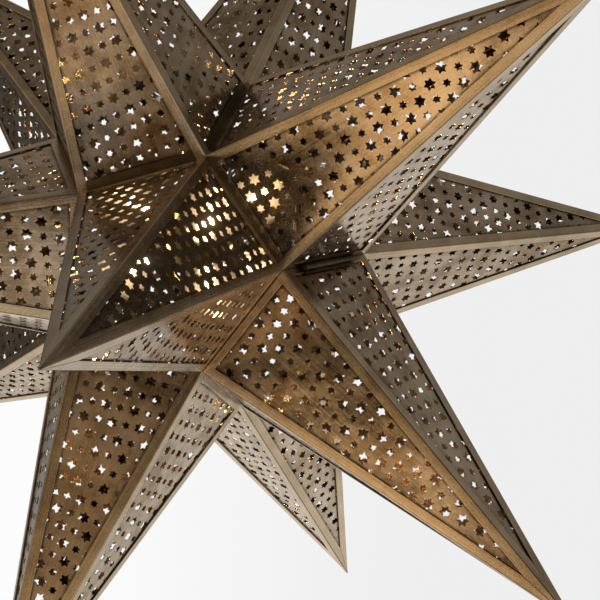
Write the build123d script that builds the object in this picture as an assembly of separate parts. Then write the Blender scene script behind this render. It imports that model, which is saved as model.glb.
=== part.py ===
from build123d import *
import itertools
import math
import os

import numpy as np

# Twelve-pointed star pendant of aged brass, millimetres, +Z up.
# Origin: the centre of the star. The core is a regular dodecahedron; on each of
# its faces stands a tall five-sided point. A two-fold axis of the core is
# vertical, so an edge of the core lies level on top, and the lamp hangs from it.

# ---------------------------------------------------------------- dimensions
EDGE = 100.0            # edge of the dodecahedral core = foot of each panel
POINT_H = 313.0         # height of a point over its pentagonal foot
TIP_BLUNT = 1.2         # the tip is filed back by this much

RIB_W = 7.4             # flange of the folded ridge angle
RIB_T = 1.2             # sheet of the ridge angles and foot strips
RIM_W = 6.0             # foot strip, the part that shows on the face
LIP_D = 8.0             # foot strip, the lip turned in between two points
PANEL_T = 0.6           # perforated sheet
PANEL_LAP = 2.0         # panel edge to ridge line
SEAM = 0.02             # half gap between two fixed points
DOOR_SEAM = 0.30        # half gap round the access point, on its own side

SCREW_OFF = 27.0        # joining screws, from the middle of an edge
SCREW_DEPTH = 4.9       # joining screws, from the edge into the lip
SCREW_R = 1.5
SCREW_HOLE_R = 1.6

# hinge of the access point
HINGE_R = 2.4           # knuckle radius
HINGE_GAP = 0.30        # knuckle to the faces beside it
HINGE_PIN_R = 1.0
HINGE_RUN = 0.05        # running clearance of the pin in the moving knuckles
KNUCKLE = 12.0
KNUCKLE_GAP = 0.30
LEAF_T = 0.8
LEAF_W = 7.4            # leaf edge, measured along the face from the foot edge

# quarter-turn catch of the access point
CATCH_U = 15.0          # spindle, from the foot edge up the face
CATCH_CAM_DEPTH = 7.2   # outer side of the cam, below the face
CATCH_CAM_T = 1.8
CATCH_CAM_L = 24.5
CATCH_CAM_W = 7.0
SPINDLE_R = 2.0
SPINDLE_RUN = 0.06

# hanger on the top edge
NIPPLE_R = 5.0          # M10x1 threaded tube, plain here
NIPPLE_BORE = 3.2
NIPPLE_TOP = 147.0
NIPPLE_BOT = -37.5
HOLE_R = 5.3            # clearance hole for the tube
SADDLE_L = 34.0
SADDLE_TOP = 141.0
BLOCK_L, BLOCK_W = 40.0, 15.0
BLOCK_BOT, BLOCK_TOP = 116.0, 127.5
LOOP_EYE_Z = 155.3
LOOP_EYE_R = 5.0
LOOP_RING_R = 8.3
LOOP_T = 5.0
EYE_TURN = 75.0         # turn of the eye about the tube, so that a pin passes between the points
STEM_R, STEM_BORE = 6.5, 5.3

# lamp cluster
LAMP_TILT = 25.0        # lamps above and below the level
LAMP_AZ = (-37.5, 82.5, 202.5)
SHELL_T = 1.5
SOCKET_R = 9.75
SOCKET_IN, SOCKET_OUT = 22.3, 42.0
SOCKET_BORE = 6.4
BASE_R = 5.95
GLASS_T = 0.8

# ---------------------------------------------------------------- core
A = EDGE
P1_, P0_ = 1.3090169943749475 * A, 0.5 * A
Q_ = 0.8090169943749475 * A
VERTS = []
for a, b in itertools.product((1, -1), repeat=2):
    VERTS += [(a * P0_, 0, b * P1_), (0, a * P1_, b * P0_), (a * P1_, b * P0_, 0)]
for a, b, c in itertools.product((1, -1), repeat=3):
    VERTS.append((a * Q_, b * Q_, c * Q_))
VERTS = np.array(VERTS, float)
S_, C_ = 0.5257311121191336, 0.8506508083520400
# directions of the twelve points; 4 and 5 stand beside the top edge,
# 3 is the access point
DIRS = {
    1: (S_, -C_, 0), 2: (C_, 0, S_), 3: (C_, 0, -S_), 4: (0, -S_, C_),
    5: (0, S_, C_), 6: (-C_, 0, S_), 7: (-S_, -C_, 0), 8: (S_, C_, 0),
    9: (0, S_, -C_), 10: (0, -S_, -C_), 11: (-C_, 0, -S_), 12: (-S_, C_, 0),
}
DIRS = {k: np.array(v, float) for k, v in DIRS.items()}
INR = float(max(VERTS @ DIRS[1]))           # centre to face
CIRC = A / (2 * math.sin(math.pi / 5))      # face circumradius
APO = CIRC * math.cos(math.pi / 5)
TIP_Z = INR + POINT_H


def unit(v):
    v = np.array(v, float)
    return v / np.linalg.norm(v)


def foot_vertices(k):
    """Foot corners of point k, anticlockwise seen from outside."""
    n = DIRS[k]
    d = VERTS @ n
    f = VERTS[d > d.max() - 1e-6]
    c = f.mean(0)
    u = unit(f[0] - c)
    v = np.cross(n, u)
    ang = [math.atan2((p - c) @ v, (p - c) @ u) for p in f]
    return [f[i] for i in np.argsort(ang)]


def shared_edge(k, m):
    """Index of the edge of point k that it shares with point m."""
    f = foot_vertices(k)
    g = foot_vertices(m)
    hit = [i for i, p in enumerate(f) if any(np.allclose(p, q) for q in g)]
    if len(hit) != 2:
        return None
    for i in range(5):
        if {i, (i + 1) % 5} == set(hit):
            return i
    return None


def place(k, first=0):
    """Location that carries the template point to point k."""
    f = foot_vertices(k)
    n = DIRS[k]
    v = f[first]
    x = unit(v - (v @ n) * n)
    return Location(Plane(origin=(0, 0, 0), x_dir=tuple(x), z_dir=tuple(n)))


# ---------------------------------------------------------------- solids
def convex(half):
    """Closed solid of the half spaces n.p <= d."""
    N = np.array([h[0] for h in half], float)
    D = np.array([h[1] for h in half], float)
    pts = []
    for i, j, k in itertools.combinations(range(len(half)), 3):
        M = N[[i, j, k]]
        if abs(np.linalg.det(M)) < 1e-7:
            continue
        p = np.linalg.solve(M, D[[i, j, k]])
        if (N @ p <= D + 1e-6).all() and not any(np.linalg.norm(p - q) < 1e-4 for q in pts):
            pts.append(p)
    pts = np.array(pts)
    faces = []
    for n, d in zip(N, D):
        on = pts[np.abs(pts @ n - d) < 1e-4]
        if len(on) < 3:
            continue
        c = on.mean(0)
        u = unit(on[0] - c)
        v = np.cross(n, u)
        ang = np.argsort([math.atan2((p - c) @ v, (p - c) @ u) for p in on])
        faces.append(Face(Wire.make_polygon([tuple(on[i]) for i in ang], close=True)))
    s = Solid(Shell(faces))
    if s.volume < 0:
        s = Solid(Shell([-f for f in faces]))
    return s


def one(shape):
    s = shape.solids()
    assert len(s) == 1, len(s)
    return s[0]


# template point: axis +Z, foot corner 0 on +X
TV = [np.array([CIRC * math.cos(math.radians(72 * i)), CIRC * math.sin(math.radians(72 * i)), INR])
      for i in range(6)]
APEX = np.array([0, 0, TIP_Z])


def face_frame(i):
    """Edge i of the template: corners, outward face normal N, uphill U,
    edge direction T, cone normal M (away from the axis), lip direction L."""
    a, b = TV[i], TV[i + 1]
    T = unit(b - a)
    mid = (a + b) / 2
    U = unit(APEX - mid)
    N = np.cross(T, U)
    if N @ mid < 0:
        N = -N
    L = -unit(mid)
    M = np.cross(T, L)
    if M @ np.array([mid[0], mid[1], 0]) < 0:
        M = -M
    return a, b, mid, N, U, T, M, L


def into_face(corner, i):
    """Direction in face i, square to the ridge at a corner, into the face."""
    a, b, mid, N, U, T, M, L = face_frame(i)
    r = unit(APEX - corner)
    d = unit(np.cross(N, r))
    if d @ (mid - corner) < 0:
        d = -d
    return d


def radial(deg):
    """Normal of the plane through the axis at an angle, towards larger angles."""
    t = math.radians(deg)
    return np.array([-math.sin(t), math.cos(t), 0.0])


def rib_template(seam):
    """Folded ridge angle at corner 0, its two flanges on faces 0 and 4."""
    parts = []
    for side in (0, 4):
        a, b, mid, N, U, T, M, L = face_frame(side)
        corner = TV[0]
        d = into_face(corner if side == 0 else TV[5], side)
        nf = N @ a
        h = [(N, nf), (-N, -nf + RIB_T), (M, -seam), (d, d @ corner + RIB_W),
             (np.array([0, 0, 1.0]), TIP_Z - TIP_BLUNT)]
        if side == 0:
            h += [(-radial(0), 0.0), (radial(36), 0.0)]
        else:
            h += [(radial(0), 0.0), (-radial(-36), 0.0)]
        parts.append(convex(h))
    return one(parts[0] + parts[1])


def rim_template(seam, holes=True):
    """Foot strip of edge 0: the flange on the face and the lip turned in."""
    a, b, mid, N, U, T, M, L = face_frame(0)
    nf = N @ a
    d0, d1 = into_face(a, 0), into_face(b, 0)
    flange = convex([(N, nf), (-N, -nf + RIB_T), (M, -seam), (U, U @ a + RIM_W),
                     (-d0, -(d0 @ a) - RIB_W), (-d1, -(d1 @ b) - RIB_W)])
    lip = convex([(M, -seam), (-M, seam + RIB_T), (N, nf - RIB_T), (L, L @ a + LIP_D),
                  (-radial(0), 0.0), (radial(72), 0.0)])
    s = one(flange + lip)
    if holes:
        for x in (-SCREW_OFF, SCREW_OFF):
            p = mid + T * x + L * SCREW_DEPTH
            s = s - Cylinder(SCREW_HOLE_R, 12).moved(Location(Plane(origin=tuple(p), z_dir=tuple(M))))
        s = one(s)
    return s


def panel_template(seam):
    """Panel sheet of face 0, lapped behind the ridge angles and foot strip."""
    a, b, mid, N, U, T, M, L = face_frame(0)
    nf = N @ a
    d0, d1 = into_face(a, 0), into_face(b, 0)
    return convex([(N, nf - RIB_T), (-N, -nf + RIB_T + PANEL_T), (M, -(seam + RIB_T + 0.3)),
                   (-d0, -(d0 @ a) - PANEL_LAP), (-d1, -(d1 @ b) - PANEL_LAP)])


def ring(s):
    return [s.rotate(Axis.Z, 72 * i) for i in range(5)]


rib_fixed = ring(rib_template(SEAM))
rim_fixed = ring(rim_template(SEAM))
panel_fixed = ring(panel_template(SEAM))
rib_door = ring(rib_template(DOOR_SEAM))
rim_door = ring(rim_template(DOOR_SEAM, holes=False))
panel_door = ring(panel_template(DOOR_SEAM))

DOOR = 3
HINGE_MATE = 2          # hinged to the point above it
CATCH_MATE = 9          # caught on the point below and behind it
node = {}
for k in DIRS:
    door = k == DOOR
    first = shared_edge(DOOR, HINGE_MATE) if door else 0
    loc = place(k, first)
    ribs = [s.moved(loc) for s in (rib_door if door else rib_fixed)]
    rims = [s.moved(loc) for s in (rim_door if door else rim_fixed)]
    pans = [s.moved(loc) for s in (panel_door if door else panel_fixed)]
    node["point_%02d_ribs" % k] = ribs
    node["point_%02d_foot_strips" % k] = rims
    node["point_%02d_panels" % k] = pans

# point 3 has its hinge on template edge 0; find the edge of its catch
DOOR_LOC = place(DOOR, shared_edge(DOOR, HINGE_MATE))
CATCH_EDGE = (shared_edge(DOOR, CATCH_MATE) - shared_edge(DOOR, HINGE_MATE)) % 5

# lips of the fixed neighbours of the access point carry no screws: fill their
# edge from an unpunched strip
for k in DIRS:
    e = shared_edge(k, DOOR)
    if k != DOOR and e is not None:
        node["point_%02d_foot_strips" % k][e] = (
            rim_template(SEAM, holes=False).rotate(Axis.Z, 72 * e).moved(place(k)))


# ---------------------------------------------------------------- helpers
def cyl(r, z0, z1):
    return Pos(0, 0, (z0 + z1) / 2) * Cylinder(r, z1 - z0)


def tube(r, bore, z0, z1):
    return cyl(r, z0, z1) - cyl(bore, z0 - 1, z1 + 1)


def at(p, z_dir, x_dir=None):
    if x_dir is None:
        return Location(Plane(origin=tuple(p), z_dir=tuple(z_dir)))
    return Location(Plane(origin=tuple(p), x_dir=tuple(x_dir), z_dir=tuple(z_dir)))


def turned(profile):
    """Solid of revolution about Z from (r, z) points."""
    w = Wire.make_polygon([(r, 0, z) for r, z in profile], close=True)
    return one(revolve(Face(w), Axis.Z, 360))


# ---------------------------------------------------------------- joining screws
edges = []
for k in DIRS:
    for m in DIRS:
        if m > k and shared_edge(k, m) is not None:
            edges.append((k, m))
screws, nuts = [], []
for k, m in edges:
    if DOOR in (k, m):
        continue
    f = foot_vertices(k)
    e = shared_edge(k, m)
    a, b = f[e], f[(e + 1) % 5]
    mid = (a + b) / 2
    T = unit(b - a)
    L = -unit(mid)
    M = unit(np.cross(T, L))
    if M @ DIRS[m] < 0:
        M = -M
    for x in (-SCREW_OFF, SCREW_OFF):
        p = mid + T * x + L * SCREW_DEPTH
        face = SEAM + RIB_T
        # round head on the side of k, nut on the side of m
        head = cyl(2.6, -face - 1.9, -face)
        head = head - Pos(0, 0, -face - 1.9) * Box(0.8, 6, 1.4)
        shank = cyl(SCREW_R, -face - 0.5, face + 3.4)
        screws.append(one(head + shank).moved(at(p, M)))
        hexa = extrude(RegularPolygon(2.75 / math.cos(math.pi / 6), 6), 2.3)
        nut = one(Pos(0, 0, face) * hexa - cyl(SCREW_R, 0, 6))
        nuts.append(nut.moved(at(p, M)))
node["joining_screws"] = screws
node["joining_nuts"] = nuts

# ---------------------------------------------------------------- hinge
HALF = math.acos(float(face_frame(0)[4] @ -face_frame(0)[7]))   # half the valley angle
HC = (HINGE_R + HINGE_GAP) / math.sin(HALF)                     # foot edge to pin
HINGE_POS = np.array([P1_ + HC, 0, 0])


def knuckle(i, bore):
    y0 = -2.5 * KNUCKLE + i * KNUCKLE + KNUCKLE_GAP / 2
    y1 = y0 + KNUCKLE - KNUCKLE_GAP
    c = cyl(HINGE_R, y0, y1) - cyl(bore, y0 - 1, y1 + 1)
    return c.moved(at(HINGE_POS, (0, 1, 0)))


def leaf(point, mine, theirs, bore):
    """Leaf soldered on the foot strip of a point, with its knuckles."""
    e = shared_edge(point, HINGE_MATE if point == DOOR else DOOR)
    f = foot_vertices(point)
    a, b = f[e], f[(e + 1) % 5]
    mid = (a + b) / 2
    T = unit(b - a)
    U = unit(DIRS[point] * TIP_Z - mid)
    N = np.cross(T, U)
    if N @ mid < 0:
        N = -N
    u0 = HC * math.cos(HALF)
    half_l = 2.5 * KNUCKLE - KNUCKLE_GAP / 2
    w = LEAF_W - u0
    plate = Box(2 * half_l, w, LEAF_T).moved(
        at(mid + U * (u0 + w / 2) + N * (LEAF_T / 2 + 0.01), N, T))
    s = plate
    for i in theirs:
        y = -2.5 * KNUCKLE + (i + 0.5) * KNUCKLE
        c = mid + np.array([0, y, 0]) - mid * np.array([0, 1, 0])
        s = s - Box(KNUCKLE + KNUCKLE_GAP, 2 * 2.55, 8).moved(at(c + U * u0, N, T))
    for i in mine:
        s = s + knuckle(i, bore)
        s = s - cyl(bore, -40, 40).moved(at(HINGE_POS, (0, 1, 0)))
    return one(s)


node["hinge_leaf_fixed"] = [leaf(HINGE_MATE, (0, 2, 4), (1, 3), HINGE_PIN_R)]
node["hinge_leaf_moving"] = [leaf(DOOR, (1, 3), (0, 2, 4), HINGE_PIN_R + HINGE_RUN)]
pin = cyl(HINGE_PIN_R, -30.6, 30.4) + cyl(1.7, -31.4, -30.15) + cyl(1.5, 30.15, 31.0)
node["hinge_pin"] = [one(pin).moved(at(HINGE_POS, (0, 1, 0)))]

# ---------------------------------------------------------------- catch
a, b, mid, N, U, T, M, L = face_frame(0)
rot = Location((0, 0, 0), (0, 0, 72 * CATCH_EDGE))
CATCH_P = mid + U * CATCH_U                   # on the face plane
catch_loc = DOOR_LOC * rot * at(CATCH_P, N, T)   # local: z outward, x along the edge, y uphill
# flanged bush through the panel
bush = (cyl(8.0, -RIB_T, 0.0) + cyl(4.4, -5.2, -RIB_T + 0.01) - cyl(SPINDLE_R + SPINDLE_RUN, -9, 3))   # its inner end is rolled over the sheet
panel_hole = cyl(4.45, -6, 3).moved(catch_loc)
i = CATCH_EDGE
node["point_03_panels"][i] = one(node["point_03_panels"][i] - panel_hole)
node["catch_bush"] = [one(bush).moved(catch_loc)]
# knob with its spindle, turned in one piece; the far end is riveted over the cam
knob = turned([(0, 0.35), (3.4, 0.35), (3.0, 2.2), (5.6, 4.0), (6.4, 5.6), (6.4, 8.0), (5.6, 9.3), (0, 9.8)])
knob = knob + cyl(SPINDLE_R, -CATCH_CAM_DEPTH - CATCH_CAM_T, 0.6) + cyl(SPINDLE_R + 0.9, -CATCH_CAM_DEPTH - CATCH_CAM_T - 1.1, -CATCH_CAM_DEPTH - CATCH_CAM_T)
node["catch_knob"] = [one(knob).moved(catch_loc)]
# cam: lies along the edge at rest (released), a quarter turn brings it over the lip
cz = -CATCH_CAM_DEPTH - CATCH_CAM_T
cam = Box(CATCH_CAM_L, CATCH_CAM_W, CATCH_CAM_T).moved(
    Location((CATCH_CAM_L / 2, 0, cz + CATCH_CAM_T / 2)))
cam = cam + cyl(CATCH_CAM_W / 2, cz, cz + CATCH_CAM_T)
cam = cam + cyl(CATCH_CAM_W / 2, cz, cz + CATCH_CAM_T).moved(Location((CATCH_CAM_L, 0, 0)))
cam = cam + cyl(3.6, -CATCH_CAM_DEPTH - 0.01, -5.35) - cyl(SPINDLE_R, -20, 5)
node["catch_cam"] = [one(cam).moved(catch_loc)]

# ---------------------------------------------------------------- hanger
bore_cut = cyl(HOLE_R, 100, 150)
for k in (4, 5):
    for what in ("ribs", "foot_strips", "panels"):
        name = "point_%02d_%s" % (k, what)
        out = []
        for s in node[name]:
            bb = s.bounding_box()
            if bb.min.Z < 131 and bb.max.Z > 118 and bb.min.X < 6 and bb.max.X > -6 and bb.min.Y < 6 and bb.max.Y > -6:
                out += list((s - bore_cut).solids())
            else:
                out.append(s)
        node[name] = out

# saddle: wedge lying in the valley over the top edge
z_e = P1_
top_half = (SADDLE_TOP - z_e - 0.05 / math.sin(HALF)) * math.tan(HALF)
z_b = z_e + 1.6
bot_half = (z_b - z_e - 0.05 / math.sin(HALF)) * math.tan(HALF)
prof = Wire.make_polygon([(-SADDLE_L / 2, -bot_half, z_b), (-SADDLE_L / 2, bot_half, z_b),
                          (-SADDLE_L / 2, top_half, SADDLE_TOP), (-SADDLE_L / 2, -top_half, SADDLE_TOP)], close=True)
saddle = extrude(Face(prof), amount=SADDLE_L, dir=(1, 0, 0))
saddle = saddle - cyl(HOLE_R, 120, 150)
top_edges = [e for e in saddle.edges() if abs(e.center().Z - SADDLE_TOP) < 1e-3 and e.geom_type == GeomType.LINE]
saddle = chamfer(top_edges, 0.8)
node["hanger_saddle"] = [one(saddle)]

# clamp block: grips the two lips from inside
block = Box(BLOCK_L, BLOCK_W, BLOCK_TOP - BLOCK_BOT).moved(Location((0, 0, (BLOCK_TOP + BLOCK_BOT) / 2)))
slot_bot = z_e - LIP_D - 0.05
block = block - Box(BLOCK_L + 2, 2 * (SEAM + RIB_T) + 0.3, 20).moved(Location((0, 0, slot_bot + 10)))
block = block - cyl(HOLE_R, 100, 150)
long_edges = [e for e in block.edges().filter_by(Axis.X) if abs(abs(e.center().Y) - BLOCK_W / 2) < 1e-3
              and abs(e.center().Z - BLOCK_BOT) < 1e-3]
block = chamfer(long_edges, 1.5)
node["hanger_clamp_block"] = [one(block)]

node["hanger_washer"] = [one(tube(10.5, HOLE_R, BLOCK_BOT - 1.6, BLOCK_BOT))]
hn = extrude(RegularPolygon(14.0 / 2 / math.cos(math.pi / 6), 6), 4.0)
node["hanger_locknut"] = [one(Pos(0, 0, BLOCK_BOT - 5.6) * hn - cyl(NIPPLE_R, 100, 130))]

nip = tube(NIPPLE_R, NIPPLE_BORE, NIPPLE_BOT, NIPPLE_TOP)
nip = nip - Cylinder(2.4, 20, rotation=(0, 90, 0)).moved(Location((0, 0, 0)))   # wire outlets in the cluster
node["threaded_tube"] = [one(nip)]

# loop: collar screwed on the tube, eye over it
loop = turned([(0, SADDLE_TOP + 0.02), (8.6, SADDLE_TOP + 0.02), (9.2, SADDLE_TOP + 1.2), (9.2, SADDLE_TOP + 4.2),
               (7.2, SADDLE_TOP + 7.2), (4.6, SADDLE_TOP + 8.4), (0, SADDLE_TOP + 8.4)])
eye = Cylinder(LOOP_RING_R, LOOP_T, rotation=(90, 0, 0)).moved(Location((0, 0, LOOP_EYE_Z)))
loop = loop + chamfer(eye.edges().filter_by(GeomType.CIRCLE), 1.1).rotate(Axis.Z, EYE_TURN)
loop = loop - Cylinder(LOOP_EYE_R, 20, rotation=(90, 0, 0)).moved(Location((0, 0, LOOP_EYE_Z))).rotate(Axis.Z, EYE_TURN)
loop = loop - cyl(NIPPLE_R, SADDLE_TOP - 1, NIPPLE_TOP)
loop = loop - cyl(2.6, NIPPLE_TOP - 1.5, LOOP_EYE_Z - 2)
node["hang_loop"] = [one(loop)]
# insulating bush for the supply cord, in the top of the threaded tube
bushing = tube(NIPPLE_BORE, 2.2, NIPPLE_TOP - 9.0, NIPPLE_TOP)
node["cord_bush"] = [one(bushing)]

CL_TOP = 31.0
node["stem_sleeve"] = [one(tube(STEM_R, STEM_BORE, CL_TOP, BLOCK_BOT - 5.6))]

# ---------------------------------------------------------------- lamp cluster
t = math.radians(LAMP_TILT)
ax_r, ax_z = math.cos(t), math.sin(t)


def shell_profile(sign):
    z = lambda v: sign * v
    outer = [(29.5, 0.0), (29.5, 1.5), (29.5 - 24 * ax_z, 1.5 + 24 * ax_r), (12.0, 28.6), (12.0, CL_TOP)]
    inner = [(HOLE_R, CL_TOP), (HOLE_R, CL_TOP - 1.6), (10.2, CL_TOP - 1.6 - 2.2),
             (29.5 - 24 * ax_z - 1.75, 1.5 + 24 * ax_r - 0.9), (29.5 - SHELL_T, 1.2), (29.5 - SHELL_T, 0.0)]
    return [(r, z(h)) for r, h in outer + inner]


lamp_axes = []
for az in LAMP_AZ:
    for s in (1, -1):
        p = math.radians(az)
        lamp_axes.append((s, np.array([ax_r * math.cos(p), ax_r * math.sin(p), s * ax_z])))

for sign, name in ((1, "cluster_shell_upper"), (-1, "cluster_shell_lower")):
    sh = turned(shell_profile(sign))
    for s, d in lamp_axes:
        if s == sign:
            sh = sh - cyl(SOCKET_R + 0.15, 18, 45).moved(at((0, 0, 0), d))
    node[name] = [one(sh)]

sockets, bases, glasses, filaments, leads = [], [], [], [], []
sock = cyl(SOCKET_R, SOCKET_IN, SOCKET_OUT) + cyl(11.6, 28.4, 30.6)
sock = one(sock - cyl(SOCKET_BORE, SOCKET_IN + 2.2, SOCKET_OUT + 1))
sock = chamfer(sock.edges().filter_by(lambda e: e.geom_type == GeomType.CIRCLE and abs(e.center().Z - SOCKET_OUT) < 1e-3), 0.8)
b0 = SOCKET_IN + 3.0
base = turned([(0, b0), (3.2, b0), (BASE_R, b0 + 3.2), (BASE_R, SOCKET_OUT + 0.2), (7.6, SOCKET_OUT + 3.0),
               (7.6, SOCKET_OUT + 4.0), (0, SOCKET_OUT + 4.0)])
g0 = SOCKET_OUT + 4.0
# globe bulb, 50 mm across: a sphere drawn in to the neck
GLOBE_R, GLOBE_L = 25.0, g0 + 26.5
neck_a = math.radians(35.0)
sn, cs = math.sin(neck_a), math.cos(neck_a)


def globe_side(r, foot_r):
    """Foot of the neck, where the neck meets the sphere, half way up, and the top."""
    return ((foot_r, g0), (r * sn, GLOBE_L - r * cs), (r, GLOBE_L), (0.0, GLOBE_L + r))


with BuildSketch(Plane.XZ) as sk:
    with BuildLine() as ln:
        o0, o1, o2, o3 = globe_side(GLOBE_R, 7.0)
        i0, i1, i2, i3 = globe_side(GLOBE_R - GLASS_T, 6.2)
        Spline(o0, o1, tangents=((0.0, 1.0), (cs, sn)))
        ThreePointArc(o1, o2, o3)
        Line(o3, i3)
        ThreePointArc(i3, i2, i1)
        Spline(i1, i0, tangents=((-cs, -sn), (0.0, -1.0)))
        Line(i0, o0)
    make_face()
glass = one(revolve(sk.sketch, Axis.Z, 360))
# lamp stem with a looped filament on two wires
f0 = g0 + 0.02
post = turned([(0, f0), (4.6, f0), (3.0, f0 + 4), (2.0, f0 + 11), (0, f0 + 12)])
fil = post
for sx in (-1, 1):
    fil = fil + Cylinder(0.45, 12.0).moved(Location((sx * 3.4, 0, f0 + 15.0), (0, sx * 14.0, 0)))
fil = fil + Cylinder(0.45, 3.6, rotation=(0, 90, 0)).moved(Location((0, 0, f0 + 9.2)))
fil = fil + Cylinder(0.8, 9.9, rotation=(0, 90, 0)).moved(Location((0, 0, f0 + 20.6)))
fil = one(fil)
lead = cyl(1.2, 7.2, SOCKET_IN)
for s, d in lamp_axes:
    L_ = at((0, 0, 0), d)
    sockets.append(sock.moved(L_) if not isinstance(sock, list) else sock[0].moved(L_))
    bases.append(base.moved(L_))
    glasses.append(glass.moved(L_))
    filaments.append(fil.moved(L_))
    leads.append(one(lead).moved(L_))
node["lamp_sockets"] = sockets
node["bulb_bases"] = bases
node["bulb_glasses"] = glasses
node["bulb_filaments"] = filaments
node["socket_leads"] = leads

fin = turned([(0, -49.5), (3.0, -49.5), (6.2, -47.2), (7.4, -44.4), (6.0, -41.6), (5.2, -40.0), (6.6, -38.6), (8.8, -36.4), (8.8, -31.02), (0, -31.02)])
fin = fin - cyl(NIPPLE_R, -37.6, -20)
node["cluster_finial"] = [one(fin)]

# ---------------------------------------------------------------- write
os.makedirs("parts", exist_ok=True)
for old in os.listdir("parts"):
    if old.endswith(".step") and old[:-5] not in node:
        os.remove(os.path.join("parts", old))
for name, solids in node.items():
    flat = []
    for s in solids:
        flat += list(s.solids())
    shape = flat[0] if len(flat) == 1 else Compound(children=flat)
    export_step(shape, "parts/%s.step" % name)

print("nodes", len(node), "solids", sum(len(v) for v in node.values()))
print("half valley angle", round(math.degrees(HALF), 3), "hinge", HINGE_POS.round(4))
cp = (catch_loc).position
zz = (catch_loc * Location((0, 0, 1))).position - cp
xx = (catch_loc * Location((1, 0, 0))).position - cp
yy = (catch_loc * Location((0, 1, 0))).position - cp
print("catch at", [round(v, 4) for v in cp], "outward", [round(v, 6) for v in zz],
      "cam rest", [round(v, 6) for v in xx], "uphill", [round(v, 6) for v in yy])
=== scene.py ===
import math

import bmesh
import bpy
import numpy as np
from mathutils import Matrix, Vector
from mathutils.geometry import delaunay_2d_cdt


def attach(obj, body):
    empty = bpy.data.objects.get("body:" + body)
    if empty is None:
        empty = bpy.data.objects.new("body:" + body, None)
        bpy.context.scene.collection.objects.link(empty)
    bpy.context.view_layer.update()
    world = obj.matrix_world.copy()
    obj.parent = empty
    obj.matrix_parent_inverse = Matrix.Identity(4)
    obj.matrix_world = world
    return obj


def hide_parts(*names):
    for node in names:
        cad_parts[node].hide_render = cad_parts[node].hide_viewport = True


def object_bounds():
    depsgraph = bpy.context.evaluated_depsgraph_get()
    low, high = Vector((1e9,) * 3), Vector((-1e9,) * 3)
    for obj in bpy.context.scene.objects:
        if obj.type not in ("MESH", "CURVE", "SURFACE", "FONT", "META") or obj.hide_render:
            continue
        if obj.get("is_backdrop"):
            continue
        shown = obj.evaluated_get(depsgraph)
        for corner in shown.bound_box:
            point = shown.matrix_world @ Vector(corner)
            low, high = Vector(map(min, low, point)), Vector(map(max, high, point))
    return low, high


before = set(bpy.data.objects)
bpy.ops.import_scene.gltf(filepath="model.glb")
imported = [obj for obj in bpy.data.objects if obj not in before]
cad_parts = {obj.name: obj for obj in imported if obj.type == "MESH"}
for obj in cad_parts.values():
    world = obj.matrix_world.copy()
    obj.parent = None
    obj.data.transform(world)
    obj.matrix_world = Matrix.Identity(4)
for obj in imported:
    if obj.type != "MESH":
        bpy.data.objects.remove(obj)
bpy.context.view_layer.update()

MM = 0.001

# ------------------------------------------------------------------ camera
cam_data = bpy.data.cameras.new("camera")
cam = bpy.data.objects.new("camera", cam_data)
bpy.context.scene.collection.objects.link(cam)
cam_data.sensor_width = 36.0
cam_data.lens = 84.224
cam_data.clip_start, cam_data.clip_end = 0.02, 60.0
cam.matrix_world = Matrix((
    (0.775779, -0.154022, 0.611919, 0.77235),
    (0.630312, 0.143697, -0.762927, -0.82872),
    (0.029576, 0.977563, 0.208559, 0.19302),
    (0.0, 0.0, 0.0, 1.0)))
bpy.context.scene.camera = cam

# ------------------------------------------------------------------ sizes, mm
EDGE, POINT_H, TIP_BLUNT = 100.0, 313.0, 1.2
RIB_W, RIB_T, RIM_W, LIP_D = 7.4, 1.2, 6.0, 8.0
PANEL_T, PANEL_LAP = 0.6, 2.0
SEAM, DOOR_SEAM = 0.02, 0.30
DOOR, HINGE_MATE, CATCH_MATE = 3, 2, 9
P1_, P0_, Q_ = 130.90169943749474, 50.0, 80.90169943749474
VERTS = []
for a in (1, -1):
    for b in (1, -1):
        VERTS += [(a * P0_, 0, b * P1_), (0, a * P1_, b * P0_), (a * P1_, b * P0_, 0)]
for a in (1, -1):
    for b in (1, -1):
        for c in (1, -1):
            VERTS.append((a * Q_, b * Q_, c * Q_))
VERTS = np.array(VERTS, float)
S_, C_ = 0.5257311121191336, 0.8506508083520400
DIRS = {
    1: (S_, -C_, 0), 2: (C_, 0, S_), 3: (C_, 0, -S_), 4: (0, -S_, C_),
    5: (0, S_, C_), 6: (-C_, 0, S_), 7: (-S_, -C_, 0), 8: (S_, C_, 0),
    9: (0, S_, -C_), 10: (0, -S_, -C_), 11: (-C_, 0, -S_), 12: (-S_, C_, 0),
}
DIRS = {k: np.array(v, float) for k, v in DIRS.items()}
INR = float(max(VERTS @ DIRS[1]))
TIP_Z = INR + POINT_H
CATCH_POS = np.array([79.283, 38.5575, -111.387])


def unit(v):
    v = np.array(v, float)
    return v / np.linalg.norm(v)


def foot(k):
    n = DIRS[k]
    d = VERTS @ n
    f = VERTS[d > d.max() - 1e-6]
    c = f.mean(0)
    u = unit(f[0] - c)
    v = np.cross(n, u)
    ang = [math.atan2((p - c) @ v, (p - c) @ u) for p in f]
    return [f[i] for i in np.argsort(ang)]


def mates(k):
    """For each foot edge of point k, the point on its other side."""
    f = foot(k)
    out = []
    for i in range(5):
        mid = (f[i] + f[(i + 1) % 5]) / 2
        order = sorted(DIRS, key=lambda m: -(DIRS[m] @ mid))
        out.append(next(m for m in order if m != k))
    return out


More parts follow.
